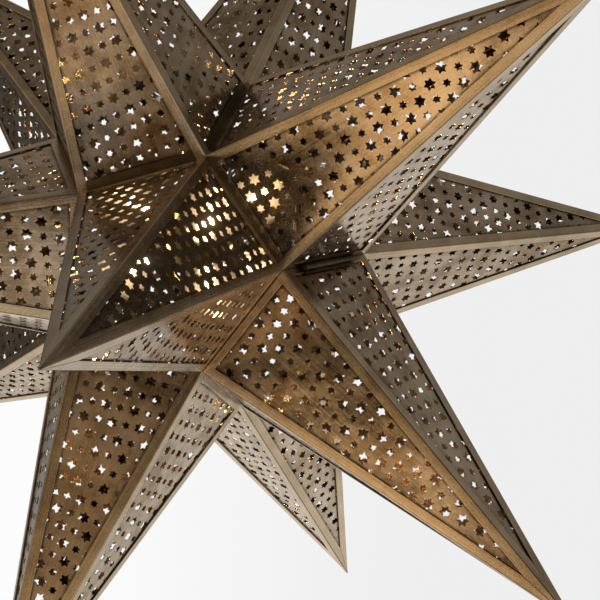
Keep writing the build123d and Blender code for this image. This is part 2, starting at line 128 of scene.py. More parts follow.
class Side:
    """One side of a point: its plane, with x along the foot, y up the side."""

    def __init__(self, k, i):
        f = foot(k)
        self.k, self.i = k, i
        self.a, self.b = f[i], f[(i + 1) % 5]
        self.apex = DIRS[k] * TIP_Z
        self.mid = (self.a + self.b) / 2
        self.T = unit(self.b - self.a)
        self.U = unit(self.apex - self.mid)
        N = np.cross(self.T, self.U)
        self.N = N if N @ self.mid > 0 else -N
        self.X = np.cross(self.U, self.N)        # to the right, seen from outside
        self.L = -unit(self.mid)
        M = np.cross(self.T, self.L)
        self.M = M if M @ (self.mid - (self.mid @ DIRS[k]) * DIRS[k]) > 0 else -M
        self.H = float((self.apex - self.mid) @ self.U)
        self.mate = mates(k)[i]

    def at(self, x, y, depth=0.0):
        return self.mid + self.X * x + self.U * y - self.N * depth

    def to2d(self, p):
        d = np.array(p, float) - self.mid
        return float(d @ self.X), float(d @ self.U)


HALF_FOOT = EDGE / 2
SLANT = Side(1, 0).H
RIDGE_ANGLE = math.atan2(SLANT, HALF_FOOT)       # between the foot and a ridge, in the face

# ------------------------------------------------------------------ materials


def new_mat(name):
    m = bpy.data.materials.new(name)
    m.use_nodes = True
    nt = m.node_tree
    nt.nodes.clear()
    out = nt.nodes.new("ShaderNodeOutputMaterial")
    b = nt.nodes.new("ShaderNodeBsdfPrincipled")
    nt.links.new(b.outputs["BSDF"], out.inputs["Surface"])
    return m, nt, b


def node(nt, kind, **kw):
    n = nt.nodes.new(kind)
    for k, v in kw.items():
        if k.startswith("in_"):
            n.inputs[k[3:].replace("_", " ")].default_value = v
        else:
            setattr(n, k, v)
    return n


def ramp(nt, stops, interp="LINEAR"):
    r = nt.nodes.new("ShaderNodeValToRGB")
    r.color_ramp.interpolation = interp
    e = r.color_ramp.elements
    while len(e) < len(stops):
        e.new(0.5)
    for el, (p, c) in zip(e, stops):
        el.position = p
        el.color = (*c, 1.0) if len(c) == 3 else c
    return r


def mixer(nt, a, b, fac, blend="MIX"):
    m = nt.nodes.new("ShaderNodeMix")
    m.data_type = "RGBA"
    m.blend_type = blend
    for sock, v in ((m.inputs[0], fac), (m.inputs[6], a), (m.inputs[7], b)):
        if isinstance(v, bpy.types.NodeSocket):
            nt.links.new(v, sock)
        else:
            sock.default_value = v if not isinstance(v, tuple) or len(v) == 4 else (*v, 1.0)
    return m.outputs[2]


def maths(nt, op, a, b=0.0, clamp=False):
    m = nt.nodes.new("ShaderNodeMath")
    m.operation = op
    m.use_clamp = clamp
    for sock, v in zip(m.inputs, (a, b)):
        if isinstance(v, bpy.types.NodeSocket):
            nt.links.new(v, sock)
        else:
            sock.default_value = v
    return m.outputs[0]


def scaled(nt, vec, s):
    m = nt.nodes.new("ShaderNodeMapping")
    m.inputs["Scale"].default_value = s
    nt.links.new(vec, m.inputs["Vector"])
    return m.outputs["Vector"]


def noise(nt, vec, scale, detail=4.0, rough=0.55):
    n = nt.nodes.new("ShaderNodeTexNoise")
    n.inputs["Scale"].default_value = scale
    n.inputs["Detail"].default_value = detail
    n.inputs["Roughness"].default_value = rough
    nt.links.new(vec, n.inputs["Vector"])
    return n.outputs["Fac"]


def brushed_brass(name, light, mid, dark, streak, rough_lo, rough_hi, bump, uv=True, patina=0.5, edge=None, wave=0.0, spread=0.21):
    """Aged brass: tarnish in soft patches, fine brush lines along UV's U, and painted shade in the hollows through the
    edge step.
    """
    m, nt, b = new_mat(name)
    tc = node(nt, "ShaderNodeTexCoord")
    obj = tc.outputs["Object"]
    vec = tc.outputs["UV"] if uv else obj
    line = scaled(nt, vec, (6.0, 900.0, 900.0) if uv else (300.0, 300.0, 300.0))
    fine = noise(nt, line, 1.0, 3.0, 0.6)
    line2 = scaled(nt, vec, (14.0, 2600.0, 2600.0) if uv else (900.0, 900.0, 900.0))
    finer = noise(nt, line2, 1.0, 2.0, 0.6)
    cloud = noise(nt, obj, 14.0, 5.0, 0.6)
    blot = noise(nt, obj, 55.0, 6.0, 0.65)
    speck = noise(nt, obj, 420.0, 3.0, 0.7)
    base = ramp(nt, [(0.505 - spread, dark), (0.505, mid), (0.505 + spread, light)])
    v = maths(nt, "ADD", maths(nt, "MULTIPLY", cloud, 0.55), maths(nt, "MULTIPLY", blot, 0.45))
    v = maths(nt, "ADD", v, maths(nt, "MULTIPLY", maths(nt, "SUBTRACT", fine, 0.5), streak))
    nt.links.new(v, base.inputs["Fac"])
    sp = ramp(nt, [(0.62, (0, 0, 0)), (0.74, (1, 1, 1))])
    nt.links.new(speck, sp.inputs["Fac"])
    col = mixer(nt, base.outputs["Color"], (dark[0] * 0.45, dark[1] * 0.42, dark[2] * 0.40), maths(nt, "MULTIPLY", sp.outputs["Color"], patina))
    if edge is not None:
        col = edge(nt, tc, col)
    nt.links.new(col, b.inputs["Base Color"])
    b.inputs["Metallic"].default_value = 1.0
    rr = nt.nodes.new("ShaderNodeMapRange")
    rr.inputs["To Min"].default_value = rough_lo
    rr.inputs["To Max"].default_value = rough_hi
    rr.inputs["From Min"].default_value = 0.3
    rr.inputs["From Max"].default_value = 0.7
    mixed = maths(nt, "ADD", maths(nt, "MULTIPLY", fine, 0.5), maths(nt, "MULTIPLY", blot, 0.5))
    nt.links.new(mixed, rr.inputs["Value"])
    nt.links.new(rr.outputs["Result"], b.inputs["Roughness"])
    bp = node(nt, "ShaderNodeBump")
    bp.inputs["Strength"].default_value = bump
    bp.inputs["Distance"].default_value = 0.00035
    h = maths(nt, "ADD", maths(nt, "MULTIPLY", finer, 0.45), maths(nt, "MULTIPLY", fine, 0.30))
    h = maths(nt, "ADD", h, maths(nt, "MULTIPLY", blot, 0.35))
    nt.links.new(h, bp.inputs["Height"])
    nt.links.new(bp.outputs["Normal"], b.inputs["Normal"])
    if wave:
        # hand-beaten sheet is never flat: long, shallow waves
        wb = node(nt, "ShaderNodeBump")
        wb.inputs["Strength"].default_value = 1.0
        wb.inputs["Distance"].default_value = wave
        long_w = noise(nt, obj, 13.0, 1.0, 0.4)
        short_w = noise(nt, obj, 60.0, 2.0, 0.5)
        nt.links.new(maths(nt, "ADD", long_w, maths(nt, "MULTIPLY", short_w, 0.09)), wb.inputs["Height"])
        nt.links.new(wb.outputs["Normal"], bp.inputs["Normal"])
    return m


def panel_gap_shade_and_rim_highlight(nt, tc, col):
    """Painted shade: the sheet goes near black in the gap where it meets the strip; and a painted highlight, a lighter
    rim round each hole.
    """
    # painted shade: the distance in from the strips darkens the sheet beside them
    at = nt.nodes.new("ShaderNodeAttribute")
    at.attribute_name = "border"
    r = ramp(nt, [(0.0, (1, 1, 1)), (0.10, (0.62, 0.62, 0.62)), (0.30, (0.14, 0.14, 0.14)), (0.9, (0, 0, 0))])
    nt.links.new(at.outputs["Fac"], r.inputs["Fac"])
    col = mixer(nt, col, (0.020, 0.014, 0.009), maths(nt, "MULTIPLY", r.outputs["Color"], 0.92))
    # painted highlight: the rim of each hole a little lighter
    rm = nt.nodes.new("ShaderNodeAttribute")
    rm.attribute_name = "rim"
    return mixer(nt, col, (0.60, 0.49, 0.35), maths(nt, "MULTIPLY", rm.outputs["Fac"], 0.14))


MAT = {}
MAT["frame"] = brushed_brass("aged_brass_strip", (0.64, 0.50, 0.33), (0.50, 0.385, 0.25), (0.30, 0.225, 0.14),
                             0.42, 0.18, 0.32, 0.30, patina=0.25)
MAT["panel"] = brushed_brass("aged_brass_sheet", (0.55, 0.45, 0.335), (0.43, 0.335, 0.23), (0.26, 0.185, 0.11),
                             0.22, 0.14, 0.26, 0.12, patina=0.30, edge=panel_gap_shade_and_rim_highlight, wave=0.0024, spread=0.115)
MAT["turned"] = brushed_brass("aged_brass_turned", (0.58, 0.44, 0.25), (0.42, 0.31, 0.17), (0.22, 0.155, 0.085),
                              0.4, 0.22, 0.38, 0.18, uv=False, patina=0.3)
# painted shade: a far darker copy of the brass, for the hinge and its fittings, so they read as lying in shade
MAT["hinge"] = brushed_brass("aged_brass_dark_for_shade", (0.22, 0.165, 0.10), (0.15, 0.11, 0.065), (0.075, 0.055, 0.032),
                             0.4, 0.34, 0.50, 0.18, uv=False, patina=0.35)
MAT["steel"] = brushed_brass("zinc_plated_steel", (0.62, 0.61, 0.58), (0.50, 0.49, 0.46), (0.34, 0.33, 0.31),
                             0.3, 0.28, 0.44, 0.15, uv=False, patina=0.2)
MAT["base_metal"] = brushed_brass("lamp_base_brass", (0.78, 0.66, 0.40), (0.66, 0.54, 0.31), (0.45, 0.35, 0.19),
                                  0.3, 0.18, 0.30, 0.12, uv=False, patina=0.15)


def plastic(name, c1, c2, rough, scale=220.0, bump=0.08, sheen=0.0):
    m, nt, b = new_mat(name)
    tc = node(nt, "ShaderNodeTexCoord")
    n1 = noise(nt, tc.outputs["Object"], scale, 4.0, 0.6)
    n2 = noise(nt, tc.outputs["Object"], scale * 0.12, 3.0, 0.6)
    r = ramp(nt, [(0.35, c1), (0.65, c2)])
    nt.links.new(n2, r.inputs["Fac"])
    nt.links.new(r.outputs["Color"], b.inputs["Base Color"])
    rr = nt.nodes.new("ShaderNodeMapRange")
    rr.inputs["To Min"].default_value = rough - 0.08
    rr.inputs["To Max"].default_value = rough + 0.12
    nt.links.new(n1, rr.inputs["Value"])
    nt.links.new(rr.outputs["Result"], b.inputs["Roughness"])
    bp = node(nt, "ShaderNodeBump")
    bp.inputs["Strength"].default_value = bump
    bp.inputs["Distance"].default_value = 0.0003
    nt.links.new(n1, bp.inputs["Height"])
    nt.links.new(bp.outputs["Normal"], b.inputs["Normal"])
    return m


MAT["phenolic"] = plastic("black_phenolic", (0.018, 0.017, 0.016), (0.032, 0.030, 0.028), 0.38)
MAT["lead"] = plastic("woven_sleeving", (0.62, 0.56, 0.44), (0.74, 0.69, 0.57), 0.75, scale=900.0, bump=0.3)

# bulb glass: clear, with a thin gloss by Fresnel
m = bpy.data.materials.new("bulb_glass")
m.use_nodes = True
nt = m.node_tree
nt.nodes.clear()
out = nt.nodes.new("ShaderNodeOutputMaterial")
tr = node(nt, "ShaderNodeBsdfTransparent")
tr.inputs["Color"].default_value = (1.0, 0.97, 0.91, 1.0)
gl = node(nt, "ShaderNodeBsdfGlossy")
gl.inputs["Roughness"].default_value = 0.04
em = node(nt, "ShaderNodeEmission")
em.inputs["Color"].default_value = (1.0, 0.66, 0.36, 1.0)
lw = node(nt, "ShaderNodeLayerWeight")
lw.inputs["Blend"].default_value = 0.35
# the glow of the filament in the glass, strongest in the middle of the globe
glow = maths(nt, "POWER", maths(nt, "SUBTRACT", 1.0, lw.outputs["Facing"]), 4.0)
nt.links.new(maths(nt, "ADD", maths(nt, "MULTIPLY", glow, 0.38), 0.012), em.inputs["Strength"])
mx = node(nt, "ShaderNodeMixShader")
nt.links.new(maths(nt, "ADD", maths(nt, "MULTIPLY", lw.outputs["Fresnel"], 0.6), 0.03), mx.inputs[0])
nt.links.new(tr.outputs[0], mx.inputs[1])
nt.links.new(gl.outputs[0], mx.inputs[2])
ad = node(nt, "ShaderNodeAddShader")
nt.links.new(mx.outputs[0], ad.inputs[0])
nt.links.new(em.outputs[0], ad.inputs[1])
nt.links.new(ad.outputs[0], out.inputs["Surface"])
MAT["glass"] = m

# the lit filament
m, nt, b = new_mat("lit_filament")
tc = node(nt, "ShaderNodeTexCoord")
n1 = noise(nt, tc.outputs["Object"], 500.0, 2.0, 0.6)
r = ramp(nt, [(0.3, (1.0, 0.62, 0.26)), (0.7, (1.0, 0.80, 0.48))])
nt.links.new(n1, r.inputs["Fac"])
nt.links.new(r.outputs["Color"], b.inputs["Base Color"])
nt.links.new(r.outputs["Color"], b.inputs["Emission Color"])
b.inputs["Emission Strength"].default_value = 130.0
b.inputs["Roughness"].default_value = 0.4
MAT["filament"] = m


def set_mat(obj, mat):
    if not obj.material_slots:
        obj.data.materials.append(mat)
    for s in obj.material_slots:
        s.material = mat


# ------------------------------------------------------------------ pierced panels


def features(i, j):
    j = j / 10.0
    return (1.0, i, j, i * j, j * j, j ** 3, i * j * j)


CX = (14.718, 22.053, -91.693, -2.157, 3.487, 3.623, 1.475)
CY = (13.296, 2.666, 100.932, 3.218, 4.676, 11.547, -5.928)
Y_STRETCH = 1.028


def star_place(i, j):
    f = features(i, j)
    return sum(a * b for a, b in zip(CX, f)), Y_STRETCH * sum(a * b for a, b in zip(CY, f))


def star_outline(x, y, r, turn, k=0.585):
    pts = []
    for n in range(12):
        a = turn + math.radians(30 * n)
        q = r if n % 2 == 0 else r * k
        pts.append((x + q * math.sin(a), y + q * math.cos(a)))
    return pts


R_BIG, R_SMALL = 4.9, 3.45
STARS = []
for j in range(-3, 30):
    for i2 in range(-12, 26):
        i = i2 / 2.0
        x, y = star_place(i, j)
        if y < 0.5 or y > SLANT - 12:
            continue
        x1, y1 = star_place(i + 0.5, j)
        big = i2 % 2 == 0
        r = R_BIG if big else R_SMALL
        # distance from the nearer ridge, in the face
        d = (HALF_FOOT * (1 - y / SLANT) - abs(x)) * math.sin(RIDGE_ANGLE)
        if d < RIB_W - r + 0.3:
            continue
        STARS.append((x, y, r, -math.atan2(y1 - y, x1 - x)))


def ridge_distance(x, y):
    return (HALF_FOOT * (1 - y / SLANT) - abs(x)) * math.sin(RIDGE_ANGLE)


def inside(p, poly):
    x, y = p
    hit = False
    n = len(poly)
    for a in range(n):
        x1, y1 = poly[a]
        x2, y2 = poly[(a + 1) % n]
        if (y1 > y) != (y2 > y) and x < (x2 - x1) * (y - y1) / (y2 - y1) + x1:
            hit = not hit
    return hit


def along(loop, step):
    """The loop with further points, so that none are much more than a step apart."""
    out = []
    for a in range(len(loop)):
        (x0, y0), (x1, y1) = loop[a], loop[(a + 1) % len(loop)]
        n = max(1, round(math.hypot(x1 - x0, y1 - y0) / step))
        out += [(x0 + (x1 - x0) * t / n, y0 + (y1 - y0) * t / n) for t in range(n)]
    return out


def inner_triangle(d_ridge, d_foot):
    """Triangle inside a side, at a distance from its ridges and its foot."""
    inset = d_ridge / math.sin(RIDGE_ANGLE)
    hw = HALF_FOOT * (1 - d_foot / SLANT) - inset
    return [(-hw, d_foot), (hw, d_foot), (0.0, SLANT * (1 - inset / HALF_FOOT))]


def pierced_sheet(outline, holes, free):
    """Triangles of the outline less the holes, with free points between: (points, triangles)."""
    boxes = [(min(p[0] for p in h), max(p[0] for p in h), min(p[1] for p in h), max(p[1] for p in h), h) for h in holes]
    pts, edges = [], []
    for loop in [along(outline, 5.0)] + holes:
        n0 = len(pts)
        pts += [Vector(p) for p in loop]
        edges += [(n0 + a, n0 + (a + 1) % len(loop)) for a in range(len(loop))]
    for x, y in free:
        if inside((x, y), outline) and not any(x0 - 0.1 <= x <= x1 + 0.1 and y0 - 0.1 <= y <= y1 + 0.1 and inside((x, y), h)
                                               for x0, x1, y0, y1, h in boxes):
            pts.append(Vector((x, y)))
    v, e, f, *_ = delaunay_2d_cdt(pts, edges, [], 0, 1e-5)
    keep = []
    for t in f:
        cx = sum(v[q][0] for q in t) / len(t)
        cy = sum(v[q][1] for q in t) / len(t)
        if not inside((cx, cy), outline):
            continue
        if any(x0 <= cx <= x1 and y0 <= cy <= y1 and inside((cx, cy), h) for x0, x1, y0, y1, h in boxes):
            continue
        keep.append(tuple(t))
    return [(p[0], p[1]) for p in v], keep


def sheet_outline(seam):
    """Outline of a panel, 2 mm inside the ridges, its foot just above the foot edge."""
    s = Side(1, 0)
    # the foot is cut by the valley plane at the depth of the sheet
    foot_y = 0.0
    for depth in (RIB_T, RIB_T + PANEL_T):
        p0, p1 = s.at(0, 0, depth), s.at(0, 1, depth)
        m0, m1 = (p0 - s.mid) @ s.M, (p1 - s.mid) @ s.M
        foot_y = max(foot_y, (-(seam + RIB_T + 0.3) - m0) / (m1 - m0))
    inset = PANEL_LAP / math.sin(RIDGE_ANGLE)
    hw = HALF_FOOT * (1 - foot_y / SLANT) - inset
    top = SLANT * (1 - inset / HALF_FOOT)
    return [(-hw, foot_y), (hw, foot_y), (0.0, top)]


def ring2d(x, y, r, n=28):
    return [(x + r * math.cos(2 * math.pi * a / n), y + r * math.sin(2 * math.pi * a / n)) for a in range(n)]


def make_panel_mesh(holes, seam):
    outline = sheet_outline(seam)
    stars = [star_outline(x, y, r, t) for x, y, r, t in STARS]
    # leave the sheet whole round a bush or a notch
    for hx, hy, keep_r in [h[1] for h in holes]:
        stars = [s for s, (x, y, r, t) in zip(stars, STARS) if math.hypot(x - hx, y - hy) > keep_r + r]
        break
    free = []
    for s in stars:
        cx, cy = sum(q[0] for q in s) / 12, sum(q[1] for q in s) / 12
        for n, (px, py) in enumerate(s):
            d = math.hypot(px - cx, py - cy)
            g = (d + (1.15 if n % 2 == 0 else 1.6)) / d
            free.append((cx + (px - cx) * g, cy + (py - cy) * g))
    for w in (0.0, 1.1, 3.0):
        free += along(inner_triangle(RIB_W + w, RIM_W + w), 4.0)
    pts, tris = pierced_sheet(outline, stars + [h[0] for h in holes], free)
    cut = {(round(px, 3), round(py, 3)) for s in stars for px, py in s}
    drawn = {q for q, (px, py) in enumerate(pts) if (round(px, 3), round(py, 3)) in cut}
    return pts, tris, drawn


PANEL_CACHE = {}


def panel_geometry(key, holes, seam):
    if key not in PANEL_CACHE:
        PANEL_CACHE[key] = make_panel_mesh(holes, seam)
    return PANEL_CACHE[key]


DRAW_IN = 0.012                                   # the punch draws the rim of a hole inwards


def add_panel(bm, side, pts, tris, drawn, uv_layer, border, rim):
    """Both faces of the sheet and the walls of its cut edges."""
    used = sorted({q for t in tris for q in t})
    top, bot = {}, {}
    for q in used:
        x, y = pts[q]
        for store, depth in ((top, RIB_T + 0.01), (bot, RIB_T + PANEL_T)):
            vert = bm.verts.new(Vector(side.at(x, y, depth + (DRAW_IN if q in drawn else 0.0))) * MM)
            # rim marks the cut edges of the holes, the mask of their painted highlight
            vert[rim] = 1.0 if q in drawn else 0.0
            # distance in from the strips: the mask of the painted shade along them
            d = min(ridge_distance(x, y) - RIB_W, y - RIM_W)
            vert[border] = max(0.0, min(1.0, d / 8.0))
            store[q] = vert
    seen = {}
    off = 0.137 * side.k + 0.031 * side.i
    for t in tris:
        a = pts[t[1]][0] - pts[t[0]][0], pts[t[1]][1] - pts[t[0]][1]
        b = pts[t[2]][0] - pts[t[0]][0], pts[t[2]][1] - pts[t[0]][1]
        if a[0] * b[1] - a[1] * b[0] < 0:
            t = t[::-1]
        for q in range(3):
            e = (t[q], t[(q + 1) % 3])
            seen[e] = True
        for store, order in ((top, t), (bot, t[::-1])):
            f = bm.faces.new([store[q] for q in order])
            for loop, q in zip(f.loops, order):
                loop[uv_layer].uv = (pts[q][1] * MM + off, pts[q][0] * MM + off)
    for (p, q) in list(seen):
        if (q, p) not in seen:
            f = bm.faces.new([top[q], top[p], bot[p], bot[q]])
            for loop, w in zip(f.loops, (q, p, p, q)):
                loop[uv_layer].uv = (pts[w][1] * MM + off, pts[w][0] * MM + off)


def finish_mesh(name, bm, mat, body, replaced, smooth_angle=None):
    me = bpy.data.meshes.new(name)
    bmesh.ops.recalc_face_normals(bm, faces=bm.faces[:])
    bm.to_mesh(me)
    bm.free()
    ob = bpy.data.objects.new(name, me)
    bpy.context.scene.collection.objects.link(ob)
    me.materials.append(mat)
    if smooth_angle is not None:
        me.shade_smooth()
        me.set_sharp_from_angle(angle=math.radians(smooth_angle))
    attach(ob, body)
    if replaced:
        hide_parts(*replaced)
    return ob


TUBE_R = 5.3
for k in DIRS:
    body = "access_point" if k == DOOR else "star"
    bm = bmesh.new()
    uv_layer = bm.loops.layers.uv.new("UVMap")
    border = bm.verts.layers.float.new("border")
    rim = bm.verts.layers.float.new("rim")
    for i in range(5):
        side = Side(k, i)
        holes, key, seam = [], "plain", SEAM
        if k == DOOR:
            key, seam = "door", DOOR_SEAM
            if side.mate == CATCH_MATE:
                x, y = side.to2d(CATCH_POS)
                holes = [(ring2d(x, y, 4.45), (x, y, 8.6))]
                key = "catch"
        elif {k, side.mate} == {4, 5}:
            # the supply tube passes here: its section with the sheet
            pts2 = []
            for a in range(28):
                t = 2 * math.pi * a / 28
                px, py = TUBE_R * math.cos(t), TUBE_R * math.sin(t)
                # solve z on the sheet's plane
                d0 = (side.mid - side.N * (RIB_T + PANEL_T / 2)) @ side.N
                pz = (d0 - side.N[0] * px - side.N[1] * py) / side.N[2]
                pts2.append(side.to2d((px, py, pz)))
            holes = [(pts2, (0.0, 0.0, 13.0))]
            key = "tube"
        pts, tris, drawn = panel_geometry(key, holes, seam)
        add_panel(bm, side, pts, tris, drawn, uv_layer, border, rim)
    finish_mesh("point_%02d_pierced_panels" % k, bm, MAT["panel"], body,
                ["point_%02d_panels" % k])

# ------------------------------------------------------------------ folded strips


def ridge_profile(nL, nR, dL, dR, w, t, r, steps=5):
    """Section of a folded angle, as offsets from the ridge line: the outer side from
    the left edge round the fold to the right edge, then back inside. dL and dR point
    into the two faces, nL and nR are their outward normals."""
    half = math.acos(max(-1, min(1, float(nL @ nR)))) / 2
    tan = math.tan(half)

    def arc(radius, base):
        pts = []
        # centre of the fold: inward along the bisector
        bis = unit(nL + nR)
        c = -bis * (radius / math.cos(half)) + base
        for s in range(steps + 1):
            f = s / steps
            n = unit(nL * (1 - f) + nR * f)
            pts.append(c + n * radius)
        return pts

    e = 0.22                                      # softened outer edges
    out = [dL * w - nL * e, dL * (w - e)]
    out += arc(r, np.zeros(3))
    out += [dR * (w - e), dR * w - nR * e]
    bis = unit(nL + nR)
    inner0 = -bis * (t / math.cos(half))
    inn = [dR * w - nR * t]
    inn += arc(0.35, inner0)[::-1]
    inn += [dL * w - nL * t]
    return out, inn


def add_rib(bm, k, i, uv_layer, seam):
    """Ridge strip over the corner between side i-1 and side i of point k."""
    sl, sr = Side(k, (i - 1) % 5), Side(k, i)
    corner = sr.a
    ridge = unit(sr.apex - corner)
    length = float(np.linalg.norm(sr.apex - corner))

    def into(side):
        d = unit(np.cross(side.N, ridge))
        return d if d @ (side.mid - corner) > 0 else -d

    dL, dR = into(sl), into(sr)
    nL, nR = sl.N, sr.N
    # height at which the strip meets the middle line of the face
    # along the ridge, the face is W(s) wide to its middle line
    sinA = math.cos(RIDGE_ANGLE)                  # half apex angle of a face: sin = cos(ridge angle)
    tan_half_apex = HALF_FOOT / SLANT
    s_meet = length - RIB_W / tan_half_apex       # distance from the corner where they meet
    out, inn = ridge_profile(nL, nR, dL, dR, RIB_W, RIB_T, 1.3)
    ring = out + inn
    stations = []
    # the foot, cut back by the valley planes of both sides
    for s, scale in ((None, 1.0), (s_meet, 1.0)):
        loop = []
        for p in ring:
            if s is None:
                side = sl if (p @ dL) > (p @ dR) else sr
                # slide along the ridge until the valley plane is met
                m0 = (corner + p - side.mid) @ side.M
                m1 = ridge @ side.M
                q = (-seam - m0) / m1
                loop.append(corner + p + ridge * q)
            else:
                loop.append(corner + p + ridge * s)
        stations.append(loop)
    # the tip: the strip narrows with the face
    s_tip = length - 1.9
    f = (length - s_tip) / (length - s_meet)
    out2, inn2 = ridge_profile(nL, nR, dL, dR, RIB_W * f, min(RIB_T, RIB_W * f * 0.5), min(1.3, RIB_W * f * 0.8))
    stations.append([corner + p + ridge * s_tip for p in out2 + inn2])
    # between, so that the narrowing part keeps its thickness
    fm = 0.35
    s_mid = length - (length - s_meet) * fm
    outm, innm = ridge_profile(nL, nR, dL, dR, RIB_W * fm, min(RIB_T, RIB_W * fm * 0.6), min(1.3, RIB_W * fm * 0.6))
    stations.insert(2, [corner + p + ridge * s_mid for p in outm + innm])
    n = len(ring)
    verts = [[bm.verts.new(Vector(p) * MM) for p in st] for st in stations]
    # across, for the UVs
    across = [0.0]
    for a in range(1, n):
        across.append(across[-1] + float(np.linalg.norm(ring[a] - ring[a - 1])))
    off = 0.211 * k + 0.047 * i
    along = [[float((np.array(p) - corner) @ ridge) for p in st] for st in stations]
    for q in range(len(stations) - 1):
        for a in range(n):
            b = (a + 1) % n
            f_ = bm.faces.new([verts[q][a], verts[q][b], verts[q + 1][b], verts[q + 1][a]])
            ua, ub = across[a], across[b] if b else across[-1] + 1.0
            for loop, uv in zip(f_.loops, ((along[q][a], ua), (along[q][b], ub), (along[q + 1][b], ub), (along[q + 1][a], ua))):
                loop[uv_layer].uv = (uv[0] * MM + off, uv[1] * MM + off)
    for q, order in ((0, 1), (len(stations) - 1, -1)):
        # end caps as strips between the outer and the inner side
        no, ni = len(out), len(inn)
        o = verts[q][:no]
        w = verts[q][no:][::-1]
        steps = max(no, ni)
        # map the outer points onto the inner ones
        idx = [min(ni - 1, max(0, round((a - 1) * (ni - 1) / (no - 3)))) for a in range(no)]
        idx[0], idx[-1] = 0, ni - 1
        for a in range(no - 1):
            fa = [o[a], o[a + 1], w[idx[a + 1]]]
            if idx[a + 1] != idx[a]:
                fa.append(w[idx[a]])
            try:
                f_ = bm.faces.new(fa)
            except ValueError:
                continue
            for loop in f_.loops:
                loop[uv_layer].uv = (off, off)


def add_box_strip(bm, loops, uv_layer, off):
    """Closed strip swept through loops of equal length, capped."""
    verts = [[bm.verts.new(Vector(p) * MM) for p in st] for st in loops]
    n = len(loops[0])
    across = [0.0]
    for a in range(1, n):
        across.append(across[-1] + float(np.linalg.norm(np.array(loops[0][a]) - np.array(loops[0][a - 1]))))
    across.append(across[-1] + 1.0)
    dist = [0.0]
    for q in range(1, len(loops)):
        dist.append(dist[-1] + float(np.linalg.norm(np.mean(loops[q], 0) - np.mean(loops[q - 1], 0))))
    for q in range(len(loops) - 1):
        for a in range(n):
            b = (a + 1) % n
            f = bm.faces.new([verts[q][a], verts[q][b], verts[q + 1][b], verts[q + 1][a]])
            uvs = ((dist[q], across[a]), (dist[q], across[a + 1]), (dist[q + 1], across[a + 1]), (dist[q + 1], across[a]))
            for loop, uv in zip(f.loops, uvs):
                loop[uv_layer].uv = (uv[0] * MM + off, uv[1] * MM + off)
    for q in (0, len(loops) - 1):
        f = bm.faces.new(verts[q])
        for loop in f.loops:
            loop[uv_layer].uv = (off, off)


def add_foot_strip(bm, side, uv_layer, seam):
    """Strip along a foot edge: a flange on the side and a lip turned in."""
    # section in the plane square to the edge, as (up the side, out of it) about the mid point
    U, N, L, M = side.U, side.N, side.L, side.M

    def corner_of(na, da, nb, db):
        """Point p in the section plane with na.p = da and nb.p = db."""
        T = side.T
        A = np.array([na, nb, T])
        return np.linalg.solve(A, np.array([da, db, 0.0]))

    t = RIB_T
    o0 = corner_of(N, 0.0, U, RIM_W)              # outer edge of the flange
    o1 = corner_of(N, 0.0, M, -seam)              # the fold, outside
    o2 = corner_of(M, -seam, L, LIP_D)            # end of the lip
    i2 = corner_of(M, -seam - t, L, LIP_D)
    i1 = corner_of(N, -t, M, -seam - t)           # the fold, inside
    i0 = corner_of(N, -t, U, RIM_W)
    r = 0.9
    fold = []
    ha = math.acos(float(N @ M)) / 2
    c = o1 - unit(N + M) * (r / math.cos(ha))
    for s in range(5):
        f = s / 4
        fold.append(c + unit(N * (1 - f) + M * f) * r)
    e = 0.2
    section = [o0 - N * e, o0 - U * e] + fold + [o2, i2, i1, i0]
    loops = []
    for sign in (-1, 1):
        loop = []
        for p in section:
            depth_n = -float(p @ N)
            y = float(p @ U)
            if depth_n < RIB_T + 0.05 and y > 0.0:
                # on the flange: ends at the ridge strips
                x = HALF_FOOT * (1 - y / SLANT) - RIB_W / math.sin(RIDGE_ANGLE) - 0.03
            else:
                # on the lip: ends at the corner planes through the axis of the point
                q = side.mid + p
                x = 0.0
                axis = DIRS[side.k]
                rad = q - (q @ axis) * axis
                along_t = float(rad @ side.X)
                out_dir = unit(side.mid - (side.mid @ axis) * axis)
                x = float(rad @ out_dir) * math.tan(math.radians(36)) - 0.03
            loop.append(side.mid + p + side.X * (sign * x))
        loops.append(loop)
    # a station in the middle keeps the brush lines even
    loops.insert(1, [(np.array(a) + np.array(b)) / 2 for a, b in zip(loops[0], loops[1])])
    add_box_strip(bm, loops, uv_layer, 0.173 * side.k + 0.029 * side.i)


for k in DIRS:
    body = "access_point" if k == DOOR else "star"
    seam = DOOR_SEAM if k == DOOR else SEAM
    bm = bmesh.new()
    uv_layer = bm.loops.layers.uv.new("UVMap")
    for i in range(5):
        add_rib(bm, k, i, uv_layer, seam)
    finish_mesh("point_%02d_ridge_strips" % k, bm, MAT["frame"], body,
                ["point_%02d_ribs" % k], 28)
    if k in (4, 5):
        # these two strips are cut round the supply tube, as the frame has them; they take the darker brass, painted
        # shade
        set_mat(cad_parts["point_%02d_foot_strips" % k], MAT["hinge"])
        continue
    bm = bmesh.new()
    uv_layer = bm.loops.layers.uv.new("UVMap")
    for i in range(5):
        add_foot_strip(bm, Side(k, i), uv_layer, seam)
    finish_mesh("point_%02d_edge_strips" % k, bm, MAT["frame"], body,
                ["point_%02d_foot_strips" % k], 28)

